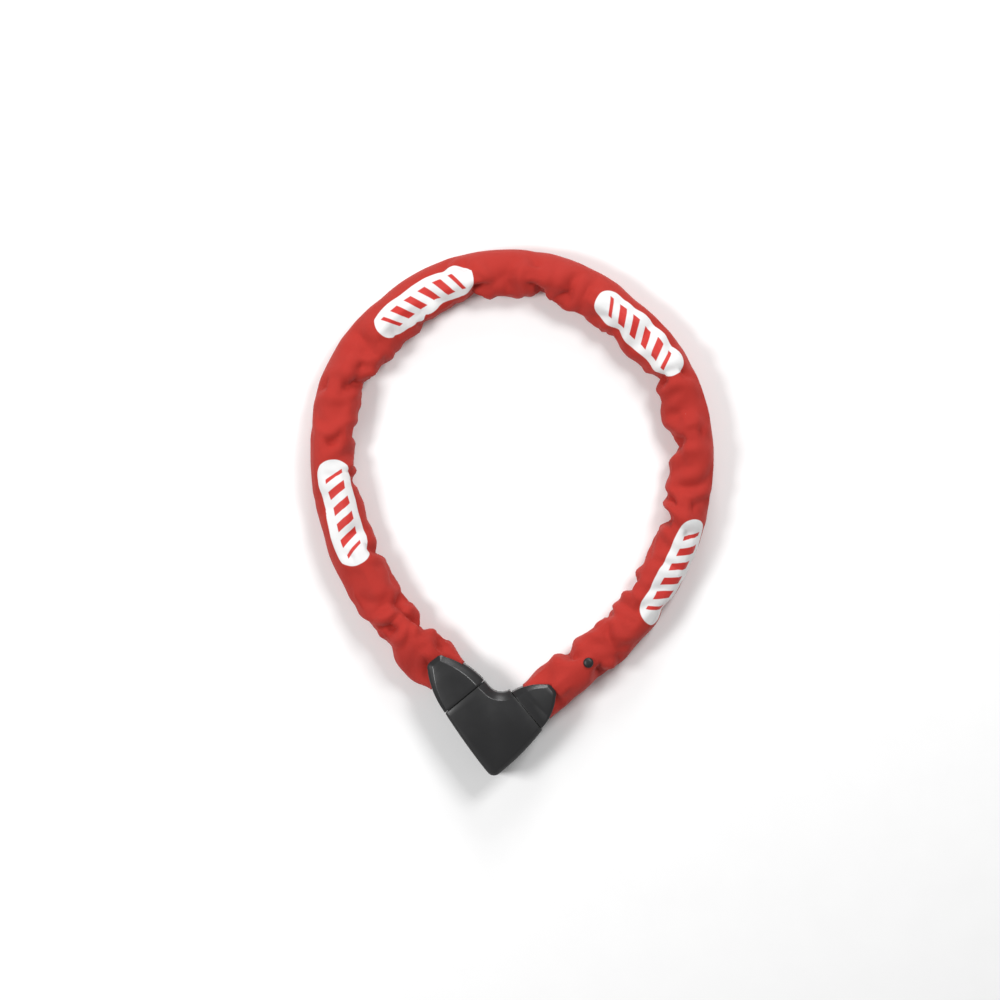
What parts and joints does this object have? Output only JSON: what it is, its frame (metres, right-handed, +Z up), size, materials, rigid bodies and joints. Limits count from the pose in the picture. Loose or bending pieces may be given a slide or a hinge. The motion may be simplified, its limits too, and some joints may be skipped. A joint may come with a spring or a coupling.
{
  "type": "chain lock",
  "caption": "Square-bar chain in a red fabric sleeve, closed into a loop by a V-shaped plastic-clad lock body with a push-in plug.",
  "frame": {"origin": "centre of the underside of the object's box, on the surface that it lies on", "axes": "+Z up from that surface, +Y from the lock body across the loop, +X towards the fixed arm's side"},
  "size_m": [0.2519, 0.3243, 0.0293],
  "materials": {
    "cover_plastic": "satin moulded plastic, near black",
    "inner_plastic": "matt moulded plastic",
    "seal_rubber": "matt black rubber",
    "hardened_steel": "ground hardened steel",
    "chain_steel": "zinc-plated square bar",
    "dark_steel": "blackened steel",
    "spring_steel": "bright spring steel",
    "cylinder_brass": "turned brass",
    "sleeve_fabric": "red woven polyester with a slight sheen"
  },
  "bodies": {
    "lock_body": {"front_cover": "cover_plastic", "back_cover": "cover_plastic", "cover_screws": "dark_steel", "lock_case": "hardened_steel", "case_plate": "hardened_steel", "cylinder_housing": "cylinder_brass", "shutter_pin": "dark_steel", "anti_drill_plate": "dark_steel", "socket_bush": "inner_plastic", "anchor_pin": "hardened_steel", "fixed_collar_front": "cover_plastic", "fixed_collar_back": "cover_plastic", "latch_spring": "spring_steel", "fabric_sleeve": "sleeve_fabric"},
    "key_core": {"key_barrel": "cylinder_brass", "locking_discs": "spring_steel", "disc_spacers": "cylinder_brass", "side_bar": "spring_steel", "barrel_clip": "dark_steel", "drive_cam": "dark_steel"},
    "latch_block": {"latch": "dark_steel"},
    "shutter": {"keyhole_shutter": "inner_plastic"},
    "plug": {"locking_bolt": "hardened_steel", "bolt_seal": "seal_rubber", "plug_link_pin": "hardened_steel", "plug_collar_front": "cover_plastic", "plug_collar_back": "cover_plastic"},
    "link_01": {"link_01": "chain_steel"},
    "link_02": {"link_02": "chain_steel", "sleeve_stud": "inner_plastic"},
    "link_03": {"link_03": "chain_steel"},
    "link_04": {"link_04": "chain_steel"},
    "link_05": {"link_05": "chain_steel"},
    "link_06": {"link_06": "chain_steel"},
    "link_07": {"link_07": "chain_steel"},
    "link_08": {"link_08": "chain_steel"},
    "link_09": {"link_09": "chain_steel"},
    "link_10": {"link_10": "chain_steel"},
    "link_11": {"link_11": "chain_steel"},
    "link_12": {"link_12": "chain_steel"},
    "link_13": {"link_13": "chain_steel"},
    "link_14": {"link_14": "chain_steel"},
    "link_15": {"link_15": "chain_steel"},
    "link_16": {"link_16": "chain_steel"},
    "link_17": {"link_17": "chain_steel"},
    "link_18": {"link_18": "chain_steel"},
    "link_19": {"link_19": "chain_steel"},
    "link_20": {"link_20": "chain_steel"},
    "link_21": {"link_21": "chain_steel"},
    "link_22": {"link_22": "chain_steel"},
    "link_23": {"link_23": "chain_steel"},
    "link_24": {"link_24": "chain_steel"},
    "link_25": {"link_25": "chain_steel"},
    "link_26": {"link_26": "chain_steel"},
    "link_27": {"link_27": "chain_steel"},
    "link_28": {"link_28": "chain_steel"},
    "link_29": {"link_29": "chain_steel"}
  },
  "joints": [
    {"name": "plug_slide", "type": "slide", "parent": "lock_body", "child": "plug", "axis": [-0.6388, 0.7694, 0], "range_m": [0, 0.027], "deforming": ["fabric_sleeve"]},
    {"name": "key_turn", "type": "hinge", "parent": "lock_body", "child": "key_core", "pos_m": [-0.00341, -0.14499, 0.014], "axis": [-0.6388, 0.7694, 0], "range_deg": [0, 90]},
    {"name": "latch_slide", "type": "slide", "parent": "lock_body", "child": "latch_block", "axis": [0.7694, 0.6388, 0], "range_m": [-0.0022, 0], "deforming": ["latch_spring"]},
    {"name": "shutter_swing", "type": "hinge", "parent": "lock_body", "child": "shutter", "pos_m": [-0.00388, -0.15383, 0.0065], "axis": [0.6388, -0.7694, 0], "range_deg": [0, 55]},
    {"name": "link_01_shift", "type": "slide", "parent": "lock_body", "child": "link_01", "axis": [-0.6388, 0.7694, 0], "range_m": [0, 0.000159]},
    {"name": "link_02_shift", "type": "slide", "parent": "lock_body", "child": "link_02", "axis": [-0.6388, 0.7694, 0], "range_m": [0, 0.000386]},
    {"name": "link_03_shift", "type": "slide", "parent": "lock_body", "child": "link_03", "axis": [-0.6388, 0.7694, 0], "range_m": [0, 0.00057]},
    {"name": "link_04_shift", "type": "slide", "parent": "lock_body", "child": "link_04", "axis": [-0.6388, 0.7694, 0], "range_m": [0, 0.000959]},
    {"name": "link_05_shift", "type": "slide", "parent": "lock_body", "child": "link_05", "axis": [-0.6388, 0.7694, 0], "range_m": [0, 0.00106]},
    {"name": "link_06_shift", "type": "slide", "parent": "lock_body", "child": "link_06", "axis": [-0.6388, 0.7694, 0], "range_m": [0, 0.00127]},
    {"name": "link_07_shift", "type": "slide", "parent": "lock_body", "child": "link_07", "axis": [-0.6388, 0.7694, 0], "range_m": [0, 0.00149]},
    {"name": "link_08_shift", "type": "slide", "parent": "lock_body", "child": "link_08", "axis": [-0.6388, 0.7694, 0], "range_m": [0, 0.00164]},
    {"name": "link_09_shift", "type": "slide", "parent": "lock_body", "child": "link_09", "axis": [-0.6388, 0.7694, 0], "range_m": [0, 0.00213]},
    {"name": "link_10_shift", "type": "slide", "parent": "lock_body", "child": "link_10", "axis": [-0.6388, 0.7694, 0], "range_m": [0, 0.00239]},
    {"name": "link_11_shift", "type": "slide", "parent": "lock_body", "child": "link_11", "axis": [-0.6388, 0.7694, 0], "range_m": [0, 0.00285]},
    {"name": "link_12_shift", "type": "slide", "parent": "lock_body", "child": "link_12", "axis": [-0.6388, 0.7694, 0], "range_m": [0, 0.00317]},
    {"name": "link_13_shift", "type": "slide", "parent": "lock_body", "child": "link_13", "axis": [-0.6388, 0.7694, 0], "range_m": [0, 0.00352]},
    {"name": "link_14_shift", "type": "slide", "parent": "lock_body", "child": "link_14", "axis": [-0.6388, 0.7694, 0], "range_m": [0, 0.00402]},
    {"name": "link_15_shift", "type": "slide", "parent": "lock_body", "child": "link_15", "axis": [-0.6388, 0.7694, 0], "range_m": [0, 0.00416]},
    {"name": "link_16_shift", "type": "slide", "parent": "lock_body", "child": "link_16", "axis": [-0.6388, 0.7694, 0], "range_m": [0, 0.00463]},
    {"name": "link_17_shift", "type": "slide", "parent": "lock_body", "child": "link_17", "axis": [-0.6388, 0.7694, 0], "range_m": [0, 0.00473]},
    {"name": "link_18_shift", "type": "slide", "parent": "lock_body", "child": "link_18", "axis": [-0.6388, 0.7694, 0], "range_m": [0, 0.00508]},
    {"name": "link_19_shift", "type": "slide", "parent": "lock_body", "child": "link_19", "axis": [-0.6388, 0.7694, 0], "range_m": [0, 0.00514]},
    {"name": "link_20_shift", "type": "slide", "parent": "lock_body", "child": "link_20", "axis": [-0.6388, 0.7694, 0], "range_m": [0, 0.00545]},
    {"name": "link_21_shift", "type": "slide", "parent": "lock_body", "child": "link_21", "axis": [-0.6388, 0.7694, 0], "range_m": [0, 0.00551]},
    {"name": "link_22_shift", "type": "slide", "parent": "lock_body", "child": "link_22", "axis": [-0.6388, 0.7694, 0], "range_m": [0, 0.00672]},
    {"name": "link_23_shift", "type": "slide", "parent": "lock_body", "child": "link_23", "axis": [-0.6388, 0.7694, 0], "range_m": [0, 0.00793]},
    {"name": "link_24_shift", "type": "slide", "parent": "lock_body", "child": "link_24", "axis": [-0.6388, 0.7694, 0], "range_m": [0, 0.00933]},
    {"name": "link_25_shift", "type": "slide", "parent": "lock_body", "child": "link_25", "axis": [-0.6388, 0.7694, 0], "range_m": [0, 0.01303]},
    {"name": "link_26_shift", "type": "slide", "parent": "lock_body", "child": "link_26", "axis": [-0.6388, 0.7694, 0], "range_m": [0, 0.016]},
    {"name": "link_27_shift", "type": "slide", "parent": "lock_body", "child": "link_27", "axis": [-0.6388, 0.7694, 0], "range_m": [0, 0.0197]},
    {"name": "link_28_shift", "type": "slide", "parent": "lock_body", "child": "link_28", "axis": [-0.6388, 0.7694, 0], "range_m": [0, 0.0234]},
    {"name": "link_29_shift", "type": "slide", "parent": "lock_body", "child": "link_29", "axis": [-0.6388, 0.7694, 0], "range_m": [0, 0.0271]}
  ],
  "couplings": [
    {"joint": "latch_slide", "follows": "key_turn", "m_per_rad": -0.0014},
    {"joint": "link_01_shift", "follows": "plug_slide", "ratio": 0.0022},
    {"joint": "link_02_shift", "follows": "plug_slide", "ratio": 0.0106},
    {"joint": "link_03_shift", "follows": "plug_slide", "ratio": 0.0174},
    {"joint": "link_04_shift", "follows": "plug_slide", "ratio": 0.0318},
    {"joint": "link_05_shift", "follows": "plug_slide", "ratio": 0.0356},
    {"joint": "link_06_shift", "follows": "plug_slide", "ratio": 0.0432},
    {"joint": "link_07_shift", "follows": "plug_slide", "ratio": 0.0516},
    {"joint": "link_08_shift", "follows": "plug_slide", "ratio": 0.0569},
    {"joint": "link_09_shift", "follows": "plug_slide", "ratio": 0.0751},
    {"joint": "link_10_shift", "follows": "plug_slide", "ratio": 0.085},
    {"joint": "link_11_shift", "follows": "plug_slide", "ratio": 0.1017},
    {"joint": "link_12_shift", "follows": "plug_slide", "ratio": 0.1139},
    {"joint": "link_13_shift", "follows": "plug_slide", "ratio": 0.1268},
    {"joint": "link_14_shift", "follows": "plug_slide", "ratio": 0.145},
    {"joint": "link_15_shift", "follows": "plug_slide", "ratio": 0.1504},
    {"joint": "link_16_shift", "follows": "plug_slide", "ratio": 0.1678},
    {"joint": "link_17_shift", "follows": "plug_slide", "ratio": 0.1716},
    {"joint": "link_18_shift", "follows": "plug_slide", "ratio": 0.1845},
    {"joint": "link_19_shift", "follows": "plug_slide", "ratio": 0.1868},
    {"joint": "link_20_shift", "follows": "plug_slide", "ratio": 0.1982},
    {"joint": "link_21_shift", "follows": "plug_slide", "ratio": 0.2005},
    {"joint": "link_22_shift", "follows": "plug_slide", "ratio": 0.2453},
    {"joint": "link_23_shift", "follows": "plug_slide", "ratio": 0.29},
    {"joint": "link_24_shift", "follows": "plug_slide", "ratio": 0.3417},
    {"joint": "link_25_shift", "follows": "plug_slide", "ratio": 0.4787},
    {"joint": "link_26_shift", "follows": "plug_slide", "ratio": 0.5889},
    {"joint": "link_27_shift", "follows": "plug_slide", "ratio": 0.7259},
    {"joint": "link_28_shift", "follows": "plug_slide", "ratio": 0.863},
    {"joint": "link_29_shift", "follows": "plug_slide", "ratio": 1}
  ]
}
